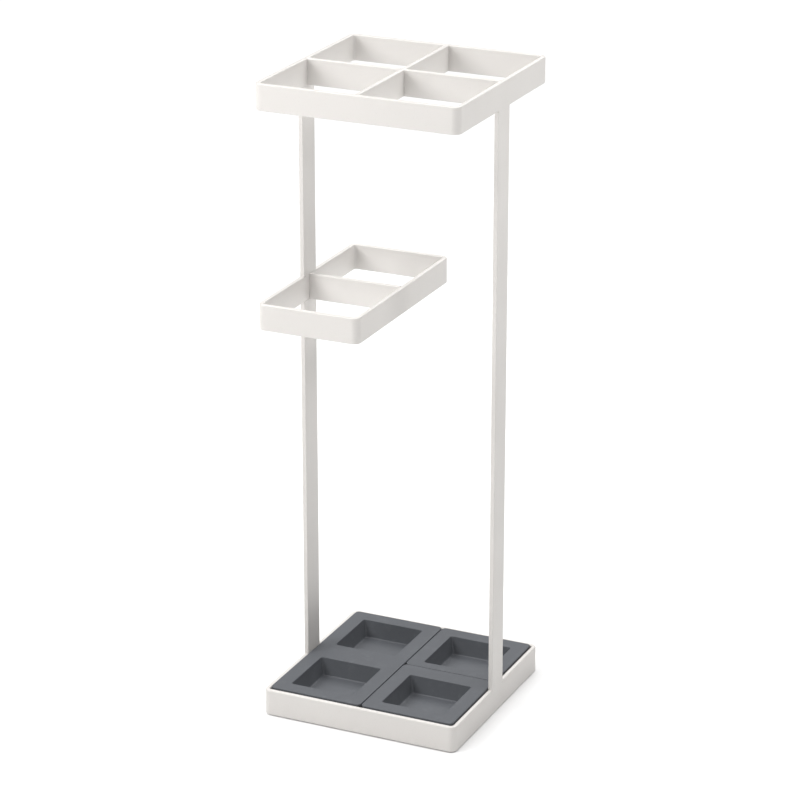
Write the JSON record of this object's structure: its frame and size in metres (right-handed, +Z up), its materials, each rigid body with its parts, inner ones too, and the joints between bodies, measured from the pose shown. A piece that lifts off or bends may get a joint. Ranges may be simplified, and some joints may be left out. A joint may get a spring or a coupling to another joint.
{
  "type": "umbrella stand",
  "caption": "Tall open umbrella stand of flat steel bar, with a divided top, a half-width middle ring and lift-out drip trays in its base.",
  "frame": {"origin": "bottom centre of the stand, on the surface that it stands on", "axes": "+Z up along the posts; the front faces -Y; the middle ring is on the -X side; the posts stand on the -X and +X sides"},
  "size_m": [0.225, 0.228, 0.7],
  "materials": {
    "powder_coat": "white powder coat, satin, very fine texture",
    "lug_steel": "white powder coat over steel",
    "tray_plastic": "matte moulded plastic, dark grey",
    "foot_rubber": "matte",
    "fastener_steel": "zinc plated"
  },
  "bodies": {
    "stand": {"top_ring": "powder_coat", "top_long_divider": "powder_coat", "top_cross_divider": "powder_coat", "mid_ring": "powder_coat", "mid_divider": "powder_coat", "left_post_lower": "powder_coat", "left_post_upper": "powder_coat", "right_post": "powder_coat", "base_wall": "powder_coat", "floor_plate": "powder_coat", "lug_front_left": "lug_steel", "lug_front_right": "lug_steel", "lug_back_left": "lug_steel", "lug_back_right": "lug_steel", "foot_front_left": "foot_rubber", "foot_front_right": "foot_rubber", "foot_back_left": "foot_rubber", "foot_back_right": "foot_rubber", "foot_screws": "fastener_steel", "foot_washers": "fastener_steel"},
    "double_tray": {"tray_double": "tray_plastic"},
    "front_right_tray": {"tray_front_right": "tray_plastic"},
    "back_right_tray": {"tray_back_right": "tray_plastic"}
  },
  "joints": [
    {"name": "double_tray_lift", "type": "slide", "parent": "stand", "child": "double_tray", "axis": [0, 0, 1], "range_m": [0, 0.06]},
    {"name": "front_right_tray_lift", "type": "slide", "parent": "stand", "child": "front_right_tray", "axis": [0, 0, 1], "range_m": [0, 0.06]},
    {"name": "back_right_tray_lift", "type": "slide", "parent": "stand", "child": "back_right_tray", "axis": [0, 0, 1], "range_m": [0, 0.06]}
  ]
}
